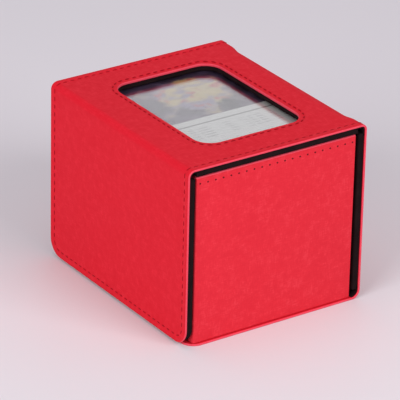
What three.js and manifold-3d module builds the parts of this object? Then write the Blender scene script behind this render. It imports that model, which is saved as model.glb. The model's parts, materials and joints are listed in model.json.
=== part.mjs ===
// Card deck box: a black-lined card tray with leather-covered ends, glued into a folding
// leather wrap. The wrap's lid has a window over a display pocket, and its front flap
// hangs over the tray's front wall, where magnets hold it shut.
//
// Millimetres, +Z up. X runs from the front flap (-X) to the hinged back (+X), Y runs along
// the cards, and the origin is the centre of the rectangle that the box stands on.

import * as THREE from 'three';
import { mergeVertices } from 'three/addons/utils/BufferGeometryUtils.js';
import Module from 'manifold-3d';

const wasm = await Module();
wasm.setup();

// ---- driving dimensions ------------------------------------------------------------------

const WIDTH = 87.5;            // X, outside of the flap to outside of the back panel
const DEPTH = 102.4;           // Y, along the long side of the cards
const HEIGHT = 79.4;           // Z, table to the top of the lid

const LEATHER = 0.8;           // artificial leather
const BOARD = 2.0;             // greyboard stiffener
const LINING = 0.6;            // black microfibre
const GLUE = 0.1;              // glue line between two layers
const CLEARANCE = 0.3;         // free gap beside a fold
const FLAP_GAP = 0.75;         // free gap between the closed flap and the tray
const PANEL = LEATHER + BOARD + LINING + 2 * GLUE;

const HEM = 1.0;               // thickness of the leather's turned edge
const HEM_TURN = 1.2;          // how far the turned edge reaches inwards
const BOARD_INSET = 1.3;       // the boards and the black panels over them reach almost
const LINING_INSET = 0.6;      // to the leather's edge
const FOLD_R = 4;              // outside radius of the wrap's folds
const FOLD_SEGMENTS = 8;

const FLAP_CORNER_R = 7.5;     // rounded lower corners of the flap
const FLAP_LIFT = 0.9;         // flap's lower edge above the table
const BASE_INSET = 1.9;        // base panel's free edge, inside the flap's outer face
const BASE_CORNER_R = 6;

const WINDOW_X = [-24.1, 25.5];  // window opening in the lid
const WINDOW_Y = [-33.3, 35];
const WINDOW_R = 7.5;

const END_RECESS = 1;          // tray's end faces sit this far inside the wrap's edge
const END_SETBACK = 0.85;      // and stop this far short of the back panel's glue line
const END_TOP = 75.2;          // top of the leather-covered end walls
const SIDE_TOP = 75.3;         // top of the black side walls

const CARD = [63, 88, 0.35];   // standard trading card
const PANE = [68, 90, 0.4];
const POCKET = [70.8, 91.2];   // backing plate of the display pocket
const POCKET_RIM = 1.2;
const POCKET_BACK = 0.8;

const MAGNET_R = 4.5;
const MAGNET_THICK = 1.6;
const MAGNET_Z = 16;
const MAGNET_Y = 26;
const MAGNET_PLAY = 0.3;

// ---- places worked out from them -----------------------------------------------------------

const X0 = -WIDTH / 2;
const X1 = WIDTH / 2;
const Y1 = DEPTH / 2;
const FOLD_X = X1 - FOLD_R;                    // centre line of each fold, from the middle
const FOLD_Z = HEIGHT - FOLD_R;
const BASE_X0 = X0 + BASE_INSET;
const BASE_TOP = LEATHER + GLUE + LINING;
const TRAY_Z = BASE_TOP + GLUE;                // underside of the tray
const TRAY_X0 = X0 + PANEL + FLAP_GAP;         // front of the tray, behind the flap
const TRAY_X1 = X1 - PANEL - GLUE;             // back of the tray, glued to the back panel
const END_X0 = TRAY_X0 + GLUE;
const END_X1 = TRAY_X1 - GLUE - END_SETBACK;
const END_Y = Y1 - END_RECESS;                 // outside of the leather on the tray's ends
const END_INNER_Y = END_Y - LEATHER - BOARD - LINING - 2 * GLUE;
const FRONT_BOARD_X = TRAY_X0 + LINING + GLUE;
const INNER_X0 = FRONT_BOARD_X + BOARD + GLUE + LINING;
const INNER_X1 = TRAY_X1 - BOARD - GLUE - LINING;
const FLOOR_TOP = TRAY_Z + BOARD + GLUE + LINING;

// ---- materials -----------------------------------------------------------------------------

const leatherRed = () => new THREE.MeshStandardMaterial({ color: 0xd81f2f, roughness: 0.5 });
const microfibre = () => new THREE.MeshStandardMaterial({ color: 0x17161a, roughness: 0.95 });
const greyboard = () => new THREE.MeshStandardMaterial({ color: 0x8d8579, roughness: 0.9 });
const magnetSteel = () => new THREE.MeshStandardMaterial({
  color: 0xb9bcc2, roughness: 0.3, metalness: 1,
});
const clearSheet = () => new THREE.MeshStandardMaterial({
  color: 0xe8eef2, roughness: 0.06, transparent: true, opacity: 0.3,
});
const cardStock = () => new THREE.MeshStandardMaterial({ color: 0xdedcd6, roughness: 0.4 });

// ---- solids --------------------------------------------------------------------------------

// A three.js geometry as a manifold solid.
function solid(geometry) {
  const bare = geometry.index ? geometry.toNonIndexed() : geometry.clone();
  bare.deleteAttribute('normal');
  bare.deleteAttribute('uv');
  const merged = mergeVertices(bare, 1e-5);
  return new wasm.Manifold(new wasm.Mesh({
    numProp: 3,
    vertProperties: new Float32Array(merged.attributes.position.array),
    triVerts: new Uint32Array(merged.index.array),
  }));
}

// A manifold solid as a flat-shaded three.js geometry.
function geometryOf(manifold) {
  const mesh = manifold.getMesh();
  const geometry = new THREE.BufferGeometry();
  geometry.setAttribute('position', new THREE.BufferAttribute(mesh.vertProperties, 3));
  geometry.setIndex(new THREE.BufferAttribute(mesh.triVerts, 1));
  geometry.computeVertexNormals();
  return geometry;
}

function box(x, y, z) {
  const geometry = new THREE.BoxGeometry(x[1] - x[0], y[1] - y[0], z[1] - z[0]);
  geometry.translate((x[0] + x[1]) / 2, (y[0] + y[1]) / 2, (z[0] + z[1]) / 2);
  return solid(geometry);
}

// A rectangle in plan, with one radius for its low-x corners and one for its high-x corners.
function outline(x, y, rLow, rHigh) {
  const shape = new THREE.Shape();
  shape.moveTo(x[0] + rLow, y[0]);
  shape.lineTo(x[1] - rHigh, y[0]);
  if (rHigh > 0) shape.absarc(x[1] - rHigh, y[0] + rHigh, rHigh, -Math.PI / 2, 0, false);
  shape.lineTo(x[1], y[1] - rHigh);
  if (rHigh > 0) shape.absarc(x[1] - rHigh, y[1] - rHigh, rHigh, 0, Math.PI / 2, false);
  shape.lineTo(x[0] + rLow, y[1]);
  if (rLow > 0) shape.absarc(x[0] + rLow, y[1] - rLow, rLow, Math.PI / 2, Math.PI, false);
  shape.lineTo(x[0], y[0] + rLow);
  if (rLow > 0) shape.absarc(x[0] + rLow, y[0] + rLow, rLow, Math.PI, 1.5 * Math.PI, false);
  return shape;
}

// That rectangle as a plate between two heights.
function plate(x, y, z, rLow = 0, rHigh = rLow) {
  const geometry = new THREE.ExtrudeGeometry(outline(x, y, rLow, rHigh), {
    depth: z[1] - z[0], bevelEnabled: false, curveSegments: FOLD_SEGMENTS,
  });
  geometry.translate(0, 0, z[0]);
  return solid(geometry);
}

function disc(radius, z, x, y) {
  const geometry = new THREE.CylinderGeometry(radius, radius, z[1] - z[0], 32);
  geometry.rotateX(Math.PI / 2);
  geometry.translate(x, y, (z[0] + z[1]) / 2);
  return solid(geometry);
}

// A profile drawn in X and Z, run along Y between y[0] and y[1].
function alongY(shape, y) {
  const geometry = new THREE.ExtrudeGeometry(shape, {
    depth: y[1] - y[0], bevelEnabled: false, curveSegments: FOLD_SEGMENTS,
  });
  geometry.rotateX(Math.PI / 2);
  geometry.translate(0, y[1], 0);
  return solid(geometry);
}

const grow = (range, by) => [range[0] - by, range[1] + by];

// ---- panels --------------------------------------------------------------------------------
// A panel lies in its own frame: its outside is the plane z = 0 and its inside is below it.
// Its y edges are hemmed. Where hemmed is true its low-x edge is a free, hemmed edge as well,
// with rounded corners. Any other x edge meets a fold.

const LAYER_BOARD = [-LEATHER - GLUE - BOARD, -LEATHER - GLUE];

// How far a layer stops inside the leather, at a hemmed edge and at a fold.
function inset(x, hemmed, byHem, byFold) {
  return [x[0] + (hemmed ? byHem : byFold), x[1] - byFold];
}

const cornerRadius = (hemmed, by) => (hemmed ? Math.max(FLAP_CORNER_R - by, 0) : 0);

function panelLeather(x, hemmed) {
  const y = [-Y1, Y1];
  const turned = inset(x, hemmed, HEM_TURN, -1);
  const under = plate(turned, grow(y, -HEM_TURN), [-HEM - 1, -LEATHER],
    cornerRadius(hemmed, HEM_TURN), 0);
  return plate(x, y, [-HEM, 0], cornerRadius(hemmed, 0), 0).subtract(under);
}

function panelBoard(x, hemmed) {
  const size = inset(x, hemmed, BOARD_INSET, GLUE + LINING);
  return plate(size, grow([-Y1, Y1], -BOARD_INSET), LAYER_BOARD,
    cornerRadius(hemmed, BOARD_INSET), 0);
}

// The lining is wrapped over the board and down its edges to the turned hem.
function panelLining(x, hemmed) {
  const layer = (byHem, byFold, z) => plate(inset(x, hemmed, byHem, byFold),
    grow([-Y1, Y1], -byHem), z, cornerRadius(hemmed, byHem), 0);
  return layer(LINING_INSET, 0, [-PANEL, -HEM - GLUE])
    .subtract(layer(BOARD_INSET - GLUE, LINING, [-PANEL + LINING, 1]));
}

// ---- wrap, fixed part: base panel, lower fold and back panel ---------------------------------

// The wrap's section from the base's free edge round the lower fold and up to a height,
// between two depths measured inwards from its outside.
function wrapSection(outer, inner, top) {
  const shape = new THREE.Shape();
  shape.moveTo(BASE_X0 - 1, outer);
  shape.lineTo(FOLD_X, outer);
  shape.absarc(FOLD_X, FOLD_R, FOLD_R - outer, -Math.PI / 2, 0, false);
  shape.lineTo(X1 - outer, top);
  shape.lineTo(X1 - inner, top);
  shape.lineTo(X1 - inner, FOLD_R);
  shape.absarc(FOLD_X, FOLD_R, FOLD_R - inner, 0, -Math.PI / 2, true);
  shape.lineTo(BASE_X0 - 1, inner);
  return shape;
}

function wrapLeather() {
  const y = [-Y1, Y1];
  const top = FOLD_Z - CLEARANCE;
  const plan = plate([BASE_X0, X1 + 1], y, [-1, HEIGHT], BASE_CORNER_R, 0);
  const inside = plate([BASE_X0 + HEM_TURN, X1 + 1], grow(y, -HEM_TURN), [-1, HEIGHT + 1],
    BASE_CORNER_R - HEM_TURN, 0);
  const thin = alongY(wrapSection(0, LEATHER, top), y).intersect(plan);
  const turnedHem = alongY(wrapSection(0, HEM, top), y).intersect(plan).subtract(inside);
  return thin.add(turnedHem);
}

function baseLining() {
  const back = HEM_TURN + GLUE;
  const y = grow([-Y1, Y1], -back);
  const plan = plate([BASE_X0 + back, X1], y, [0, HEIGHT], BASE_CORNER_R - back, 0);
  return alongY(wrapSection(LEATHER + GLUE, BASE_TOP, FOLD_R + GLUE), y).intersect(plan);
}

// ---- folds: quarter rounds of leather and lining at the upper corners -------------------------

// side is +1 at the back and -1 at the front.
function foldStrip(side, outer, inner, halfLength) {
  const startAngle = side > 0 ? 0 : Math.PI / 2;
  const shape = new THREE.Shape();
  shape.absarc(side * FOLD_X, FOLD_Z, FOLD_R - outer, startAngle, startAngle + Math.PI / 2, false);
  shape.absarc(side * FOLD_X, FOLD_Z, FOLD_R - inner, startAngle + Math.PI / 2, startAngle, true);
  return alongY(shape, [-halfLength, halfLength]);
}

function foldLeather(side) {
  return foldStrip(side, 0, HEM, Y1)
    .subtract(foldStrip(side, LEATHER, FOLD_R - 0.5, Y1 - HEM_TURN));
}

function foldLining(side) {
  const depth = LEATHER + GLUE;
  return foldStrip(side, depth, depth + LINING, Y1 - HEM_TURN - GLUE);
}

// ---- tray ----------------------------------------------------------------------------------

// Leather cap over an end wall: outer face, both side returns and the turn over the rim.
function endLeather(side) {
  const y = (a, b) => (side < 0 ? [-a, -b] : [b, a]);
  const cap = box([END_X0, END_X1], y(END_Y, END_INNER_Y), [TRAY_Z, END_TOP]);
  const hollow = box([END_X0 + LEATHER, END_X1 - LEATHER],
    y(END_Y - LEATHER, END_INNER_Y - 1), [TRAY_Z - 1, END_TOP - LEATHER]);
  return cap.subtract(hollow);
}

function endBoard(side) {
  const outer = END_Y - LEATHER - GLUE;
  const y = side < 0 ? [-outer, -outer + BOARD] : [outer - BOARD, outer];
  const x = [END_X0 + GLUE + LEATHER, END_X1 - GLUE - LEATHER];
  return box(x, y, [TRAY_Z, END_TOP - LEATHER - GLUE]);
}

function endLining(side) {
  const y = side < 0 ? [-END_INNER_Y - LINING, -END_INNER_Y] : [END_INNER_Y, END_INNER_Y + LINING];
  const x = [INNER_X0 + GLUE, INNER_X1 - GLUE];
  return box(x, y, [FLOOR_TOP + GLUE, END_TOP - LEATHER - GLUE]);
}

const SIDE_Y = END_INNER_Y - GLUE;             // half length of the tray's side walls

function frontBoard() {
  const x = [FRONT_BOARD_X, FRONT_BOARD_X + BOARD];
  let board = box(x, [-SIDE_Y, SIDE_Y], [TRAY_Z, SIDE_TOP - LINING - GLUE]);
  for (const y of [-MAGNET_Y, MAGNET_Y]) {
    board = board.subtract(magnetAlongX(MAGNET_R + MAGNET_PLAY, [x[0] - 1, x[1] + 1], y));
  }
  return board;
}

// The front wall's lining runs up its outside, over its rim and down its inside.
function frontLining() {
  const y = [-SIDE_Y, SIDE_Y];
  const around = box([TRAY_X0, INNER_X0], y, [TRAY_Z, SIDE_TOP]);
  const hollow = box([TRAY_X0 + LINING, INNER_X0 - LINING], grow(y, 1),
    [TRAY_Z - 1, SIDE_TOP - LINING]);
  const underFloor = box([FRONT_BOARD_X + BOARD, INNER_X0 + 1], grow(y, 1), [0, FLOOR_TOP + GLUE]);
  return around.subtract(hollow).subtract(underFloor);
}

function backBoard() {
  return box([TRAY_X1 - BOARD, TRAY_X1], [-SIDE_Y, SIDE_Y], [TRAY_Z, SIDE_TOP - LINING - GLUE]);
}

function backLining() {
  const y = [-SIDE_Y, SIDE_Y];
  return box([INNER_X1, INNER_X1 + LINING], y, [FLOOR_TOP + GLUE, SIDE_TOP])
    .add(box([INNER_X1, TRAY_X1], y, [SIDE_TOP - LINING, SIDE_TOP]));
}

function floorBoard() {
  const x = [FRONT_BOARD_X + BOARD + GLUE, TRAY_X1 - BOARD - GLUE];
  const y = END_Y - LEATHER - BOARD - 2 * GLUE;
  return box(x, [-y, y], [TRAY_Z, TRAY_Z + BOARD]);
}

function floorLining() {
  return box([INNER_X0 + GLUE, INNER_X1 - GLUE], [-SIDE_Y, SIDE_Y], [FLOOR_TOP - LINING, FLOOR_TOP]);
}

// ---- magnets -------------------------------------------------------------------------------

function magnetAlongX(radius, x, y) {
  const geometry = new THREE.CylinderGeometry(radius, radius, x[1] - x[0], 32);
  geometry.rotateZ(Math.PI / 2);
  geometry.translate((x[0] + x[1]) / 2, y, MAGNET_Z);
  return solid(geometry);
}

function trayMagnet(y) {
  const middle = FRONT_BOARD_X + BOARD / 2;
  return magnetAlongX(MAGNET_R, [middle - MAGNET_THICK / 2, middle + MAGNET_THICK / 2], y);
}

// ---- lid -----------------------------------------------------------------------------------

const LID_X = [-FOLD_X + CLEARANCE, FOLD_X - CLEARANCE];

function windowHole(by, z) {
  return plate(grow(WINDOW_X, by), grow(WINDOW_Y, by), z, WINDOW_R + by);
}

// The leather is turned under around the window as well.
function lidLeather() {
  return panelLeather(LID_X, false)
    .add(windowHole(HEM_TURN, [-HEM, -LEATHER / 2]))
    .subtract(windowHole(0, [-PANEL, 1]));
}

function lidBoard() {
  return panelBoard(LID_X, false).subtract(windowHole(HEM_TURN + GLUE, [-PANEL, 1]));
}

// The lining runs up the window's walls to the turned leather.
function lidLining() {
  return panelLining(LID_X, false)
    .add(windowHole(HEM_TURN, [-PANEL, -HEM - GLUE]))
    .subtract(windowHole(HEM_TURN - LINING, [-PANEL - 1, 1]));
}

const POCKET_CENTRE = [(INNER_X0 + INNER_X1) / 2, 0];
const PANE_Z = [-PANEL - GLUE - PANE[2], -PANEL - GLUE];
const CARD_Z = [PANE_Z[0] - GLUE - CARD[2], PANE_Z[0] - GLUE];

const span = (centre, size) => [centre - size / 2, centre + size / 2];

function windowPane() {
  return plate(span(POCKET_CENTRE[0], PANE[0]), span(POCKET_CENTRE[1], PANE[1]), PANE_Z, 2);
}

function displayCard() {
  return plate(span(POCKET_CENTRE[0], CARD[0]), span(POCKET_CENTRE[1], CARD[1]), CARD_Z, 3);
}

// Backing plate with a raised rim on three sides; the card slides in from the front side.
function pocketBack() {
  const x = span(POCKET_CENTRE[0], POCKET[0]);
  const y = span(POCKET_CENTRE[1], POCKET[1]);
  const floor = CARD_Z[0] - GLUE;
  const rimTop = -PANEL - GLUE;
  const hollow = plate(grow(span(POCKET_CENTRE[0], PANE[0]), GLUE),
    grow(span(POCKET_CENTRE[1], PANE[1]), GLUE), [floor, 1], 2);
  const slot = box([x[0] - 1, x[0] + POCKET_RIM + 1], span(0, CARD[1] / 3), [floor, 1]);
  return plate(x, y, [floor - POCKET_BACK, rimTop], 2.5).subtract(hollow).subtract(slot);
}

// ---- flap ----------------------------------------------------------------------------------
// In the flap's own frame x runs upwards, so its low-x edge is the lower edge.

const FLAP_X = [FLAP_LIFT, FOLD_Z - CLEARANCE];

function flapMagnet(y) {
  const middle = (LAYER_BOARD[0] + LAYER_BOARD[1]) / 2;
  return disc(MAGNET_R, [middle - MAGNET_THICK / 2, middle + MAGNET_THICK / 2], MAGNET_Z, y);
}

function flapBoard() {
  let board = panelBoard(FLAP_X, true);
  for (const y of [-MAGNET_Y, MAGNET_Y]) {
    board = board.subtract(disc(MAGNET_R + MAGNET_PLAY, [-PANEL, 1], MAGNET_Z, y));
  }
  return board;
}

// ---- back panel layers, in a frame whose x runs downwards --------------------------------------

const BACK_X = [-FOLD_Z + CLEARANCE, -FOLD_R - 2 * GLUE];

// ---- assembly ------------------------------------------------------------------------------

function named(name, shape, material) {
  const mesh = new THREE.Mesh(geometryOf(shape), material);
  mesh.name = name;
  return mesh;
}

const fixed = new THREE.Group();
fixed.add(
  named('wrap_leather', wrapLeather(), leatherRed()),
  named('base_lining', baseLining(), microfibre()),
  named('lid_hinge_leather', foldLeather(1), leatherRed()),
  named('lid_hinge_lining', foldLining(1), microfibre()),
  named('tray_floor_board', floorBoard(), greyboard()),
  named('tray_floor_lining', floorLining(), microfibre()),
  named('tray_front_board', frontBoard(), greyboard()),
  named('tray_front_lining', frontLining(), microfibre()),
  named('tray_back_board', backBoard(), greyboard()),
  named('tray_back_lining', backLining(), microfibre()),
);
for (const [place, side] of [['near', -1], ['far', 1]]) {
  fixed.add(
    named(`${place}_end_leather`, endLeather(side), leatherRed()),
    named(`${place}_end_board`, endBoard(side), greyboard()),
    named(`${place}_end_lining`, endLining(side), microfibre()),
    named(`tray_magnet_${place}`, trayMagnet(side * MAGNET_Y), magnetSteel()),
  );
}

const back = new THREE.Group();
back.position.x = X1;
back.rotation.y = Math.PI / 2;
back.add(
  named('back_board', panelBoard(BACK_X, false), greyboard()),
  named('back_lining', panelLining(BACK_X, false), microfibre()),
);

const lid = new THREE.Group();
lid.position.z = HEIGHT;
lid.add(
  named('lid_leather', lidLeather(), leatherRed()),
  named('lid_board', lidBoard(), greyboard()),
  named('lid_lining', lidLining(), microfibre()),
  named('window_pane', windowPane(), clearSheet()),
  named('display_card', displayCard(), cardStock()),
  named('pocket_back', pocketBack(), microfibre()),
);

const flapFold = new THREE.Group();
flapFold.add(
  named('flap_hinge_leather', foldLeather(-1), leatherRed()),
  named('flap_hinge_lining', foldLining(-1), microfibre()),
);

const flap = new THREE.Group();
flap.position.x = X0;
flap.rotation.y = -Math.PI / 2;
flap.add(
  named('flap_leather', panelLeather(FLAP_X, true), leatherRed()),
  named('flap_board', flapBoard(), greyboard()),
  named('flap_lining', panelLining(FLAP_X, true), microfibre()),
  named('flap_magnet_near', flapMagnet(-MAGNET_Y), magnetSteel()),
  named('flap_magnet_far', flapMagnet(MAGNET_Y), magnetSteel()),
);

const group = new THREE.Group();
group.add(fixed, back, lid, flapFold, flap);

export default group;
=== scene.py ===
import json
import math

import bmesh
import bpy
from mathutils import Matrix, Vector
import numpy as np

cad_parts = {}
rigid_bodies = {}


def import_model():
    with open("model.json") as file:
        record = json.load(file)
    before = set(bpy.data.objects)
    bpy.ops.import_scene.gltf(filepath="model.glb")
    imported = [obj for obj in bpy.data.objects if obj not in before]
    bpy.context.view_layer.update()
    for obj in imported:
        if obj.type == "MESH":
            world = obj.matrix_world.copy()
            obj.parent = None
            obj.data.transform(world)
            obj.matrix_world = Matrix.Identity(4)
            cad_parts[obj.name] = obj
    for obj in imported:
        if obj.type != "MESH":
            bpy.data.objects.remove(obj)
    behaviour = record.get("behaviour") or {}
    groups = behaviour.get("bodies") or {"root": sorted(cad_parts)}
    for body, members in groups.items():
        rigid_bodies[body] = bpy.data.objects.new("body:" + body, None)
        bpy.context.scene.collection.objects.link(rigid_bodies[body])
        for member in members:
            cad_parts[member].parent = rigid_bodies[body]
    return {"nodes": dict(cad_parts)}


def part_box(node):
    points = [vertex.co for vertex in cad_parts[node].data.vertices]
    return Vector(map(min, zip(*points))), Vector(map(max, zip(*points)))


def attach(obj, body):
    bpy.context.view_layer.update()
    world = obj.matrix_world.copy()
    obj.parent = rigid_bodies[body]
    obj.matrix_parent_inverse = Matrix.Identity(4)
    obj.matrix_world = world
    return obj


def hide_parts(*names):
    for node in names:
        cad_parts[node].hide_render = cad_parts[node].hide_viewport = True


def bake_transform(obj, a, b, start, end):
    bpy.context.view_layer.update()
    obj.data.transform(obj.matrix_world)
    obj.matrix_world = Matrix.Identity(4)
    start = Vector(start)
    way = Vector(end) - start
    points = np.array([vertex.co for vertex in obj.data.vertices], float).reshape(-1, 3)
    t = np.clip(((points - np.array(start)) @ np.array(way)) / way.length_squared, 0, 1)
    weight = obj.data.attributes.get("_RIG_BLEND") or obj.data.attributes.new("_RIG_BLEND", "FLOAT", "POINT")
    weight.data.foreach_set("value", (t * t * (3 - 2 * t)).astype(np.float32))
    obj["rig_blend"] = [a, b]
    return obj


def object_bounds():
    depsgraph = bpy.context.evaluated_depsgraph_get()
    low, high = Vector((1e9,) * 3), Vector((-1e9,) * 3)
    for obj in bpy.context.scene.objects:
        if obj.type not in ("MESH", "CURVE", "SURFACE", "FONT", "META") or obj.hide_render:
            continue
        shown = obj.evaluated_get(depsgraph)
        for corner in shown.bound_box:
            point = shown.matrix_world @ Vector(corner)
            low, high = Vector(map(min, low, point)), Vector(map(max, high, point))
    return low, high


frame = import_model()
CAD_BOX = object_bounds()

# ---- sizes, in metres ----------------------------------------------------------------------

MM = 0.001
X1, Y1, HEIGHT = CAD_BOX[1]
X0 = -X1
SAME = 1e-6                           # points closer than this are one point
NEAR = 1e-5                           # points closer than this to a plane lie on it

BASE_X0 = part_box("wrap_leather")[0].x
FLAP_Z0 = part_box("flap_leather")[0].z
FOLD_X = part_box("lid_hinge_leather")[0].x     # the fold pieces start at these two planes
FOLD_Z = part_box("lid_hinge_leather")[0].z
LOWER_FOLD_R = 4 * MM                 # outside radii of the wrap's folds
REAR_FOLD_R = 2.6 * MM
FRONT_FOLD_R = 3.2 * MM
FOLD_STEPS = 12
CORNER_STEPS = 9
SPLIT = 1.2 * MM                      # a fold's own piece runs this far onto the panels
SPLIT_X = FOLD_X - SPLIT
SPLIT_Z = FOLD_Z - SPLIT
BASE_CORNER_R = 6 * MM
FLAP_CORNER_R = 7.5 * MM

LEATHER = 0.95 * MM                   # the wrap with its turned hem
LEATHER_EDGE_R = 0.42 * MM
RIM_REACH = 1.1 * MM                  # the base's and flap's rims lie this near the outside
RIM_TILT = 0.35                       # a rim's faces lean over at least this much
WINDOW_RIM_TILT = 0.93                # faces round the window that point up less are its rim
FLAP_REACH = 1.3 * MM                 # the flap's leather lies this near the front
GLUE = 0.05 * MM                      # between the leather and the lining
LINING = 0.55 * MM
LINING_DEPTH = LEATHER + LINING + GLUE
PANEL = 3.6 * MM                      # outside of the leather to the inside of the lining
LINING_INSET = 0.5 * MM               # black panels stop this far inside the leather's edge
LINING_Y = Y1 - LINING_INSET
PANEL_EDGE_R = 0.5 * MM
BASE_REACH = 46.5 * MM                # the base's lining ends between the end walls
BASE_LINING_END = 39.2 * MM           # past the end walls it widens over a short step
BASE_LINING_STEP = 0.4 * MM
BASE_LINING_RISE = 1.5 * MM           # it runs this far up behind the back panel's
END_FOOT = 1.3 * MM                   # the end walls' leather reaches down to the base's
END_EDGE_R = 0.75 * MM
END_FOOT_R = 0.5 * MM
TRAY_LINING_EDGE_R = 0.28 * MM
TRAY_TUCK = 0.35 * MM                 # tray linings run this far behind their neighbours
FLOOR_TUCK = 0.5 * MM
STRIP_EDGE_R = 0.12 * MM              # strips of lining turned in over the back board's ends
STRIP_FACES = (0.02 * MM, 0.4 * MM)   # their two faces, out from the board
STRIP_GAP = 0.1 * MM

SEAM_IN = 3.0 * MM                    # row of stitches, in from the edge
SEAM_HALF = 0.75 * MM                 # half width of the pinched line under the stitches
SEAM_DEPTH = 0.2 * MM

WINDOW_LOW, WINDOW_HIGH = Vector((-24.1, -33.3, 0)) * MM, Vector((25.5, 35, 0)) * MM
WINDOW_R = 7.5 * MM
WINDOW_SEAM = 2.5 * MM                # stitches round the window, out from its edge
WINDOW_TURN = 1.65 * MM               # leather turned down into the window
WINDOW_ZONE_X = 30 * MM               # the window and its rim lie inside these
WINDOW_ZONE_Y = 40 * MM
WINDOW_LINING_GROW = 0.45 * MM        # the lining's opening is larger than the leather's
WINDOW_LINING_STEPS = (1.0 * MM, 0.8 * MM)
WINDOW_START = 4 * MM                 # first inset of an opening, before its corners are placed
LID_FACE_AREA = 0.003                 # square metres: only the lid's middle face is larger

STITCH_PITCH = 3.5 * MM
STITCH_SIZE = Vector((2.2, 0.52, 0.42)) * MM
STITCH_SINK = 0.14 * MM               # a stitch's middle lies this far under the surface
STITCH_DROOP = 0.9                    # its ends drop into the leather
STITCH_TAPER = 1.2                    # and narrow
END_SEAM_DROP = 2.9 * MM              # row of stitches under the rim of each end wall
END_STITCH_PITCH = 3.65 * MM
END_STITCH_SIZE = Vector((1.05, 0.85, 0.4)) * MM
END_STITCH_SINK = 0.08 * MM

REAR_SINK = 0.9 * MM                  # the rear fold sinks in between its stiffer ends
SINK_FROM, SINK_FULL = 44 * MM, 38 * MM
SINK_STEPS = 4
SINK_WIDTH = 1.35 * REAR_FOLD_R
SINK_WAY = Vector((0.707, 0, 0.707))

CARD_X = (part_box("display_card")[0].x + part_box("display_card")[1].x) / 2
CARD_BORDER_X, CARD_BORDER_Y = 29.8 * MM, 42.3 * MM
ART_PLACE = (-0.2, -0.55, 0)
ART_FROM_Y = -3.4 * MM                # the picture fills the card from here on
RULE_Y, RULE_HALF = -8.2 * MM, 0.45 * MM
MARKS_LOW_Y, MARKS_HIGH_Y = -22 * MM, -11.5 * MM
MARKS_PITCH = 2.1 * MM


# ---- modelling helpers ---------------------------------------------------------------------

def deselect_objects():
    for obj in bpy.context.selected_objects:
        obj.select_set(False)


def take(obj):
    """Makes obj the only selected and the active object."""
    deselect_objects()
    obj.select_set(True)
    bpy.context.view_layer.objects.active = obj
    return obj


def edit(obj):
    take(obj)
    bpy.ops.object.mode_set(mode="EDIT")
    bpy.ops.mesh.select_all(action="DESELECT")


def leave_edit():
    bpy.ops.object.mode_set(mode="OBJECT")


def pick(obj, kind, test):
    """In edit mode, selects only the elements of one kind (VERT, EDGE or FACE) that pass."""
    bpy.ops.mesh.select_mode(type=kind)
    bpy.ops.mesh.select_all(action="DESELECT")
    mesh = bmesh.from_edit_mesh(obj.data)
    elements = {"VERT": mesh.verts, "EDGE": mesh.edges, "FACE": mesh.faces}[kind]
    for element in elements:
        if test(element):
            element.select_set(True)
    mesh.select_flush_mode()
    bmesh.update_edit_mesh(obj.data)


def middle(element):
    """The middle of an edge or a face."""
    points = [v.co for v in element.verts]
    return sum(points, Vector()) / len(points)


def settle(obj, name):
    """Names a finished piece and puts its place into its mesh."""
    take(obj)
    bpy.ops.object.transform_apply(location=True, rotation=True, scale=True)
    obj.name = name
    obj.data.name = name
    return obj


def modify(obj, kind, **values):
    """Adds a modifier with these values and applies it."""
    take(obj)
    modifier = obj.modifiers.new(kind.title(), kind)
    for key, value in values.items():
        setattr(modifier, key, value)
    bpy.ops.object.modifier_apply(modifier=modifier.name)


def thicken(sheet, thickness):
    """Gives an open sheet its thickness, behind its faces."""
    modify(sheet, "SOLIDIFY", thickness=thickness, offset=-1, use_even_offset=True)


def smooth(obj, degrees):
    take(obj)
    bpy.ops.object.shade_smooth_by_angle(angle=math.radians(degrees))


def outward(obj):
    """Merges doubles and points the faces of a closed piece outwards."""
    edit(obj)
    bpy.ops.mesh.select_all(action="SELECT")
    bpy.ops.mesh.remove_doubles(threshold=SAME)
    bpy.ops.mesh.normals_make_consistent(inside=False)
    leave_edit()


def slab(low, high):
    """A cube primitive between two corners, with its place in its mesh."""
    low, high = Vector(low), Vector(high)
    bpy.ops.mesh.primitive_cube_add(size=1, location=(low + high) / 2)
    obj = bpy.context.active_object
    obj.scale = high - low
    bpy.ops.object.transform_apply(location=True, rotation=True, scale=True)
    return obj


def finish_piece(obj, material, body=None, replaces=()):
    obj.data.materials.clear()
    obj.data.materials.append(material)
    if body:
        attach(obj, body)
    if replaces:
        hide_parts(*replaces)
    return obj


# ---- materials -----------------------------------------------------------------------------

# The rim attribute marks where the leather material paints a paler highlight on its rounded edges.
RIM_HIGHLIGHT = "rim_highlight"                           # face attribute: 1 on the leather's rounded edges


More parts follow.
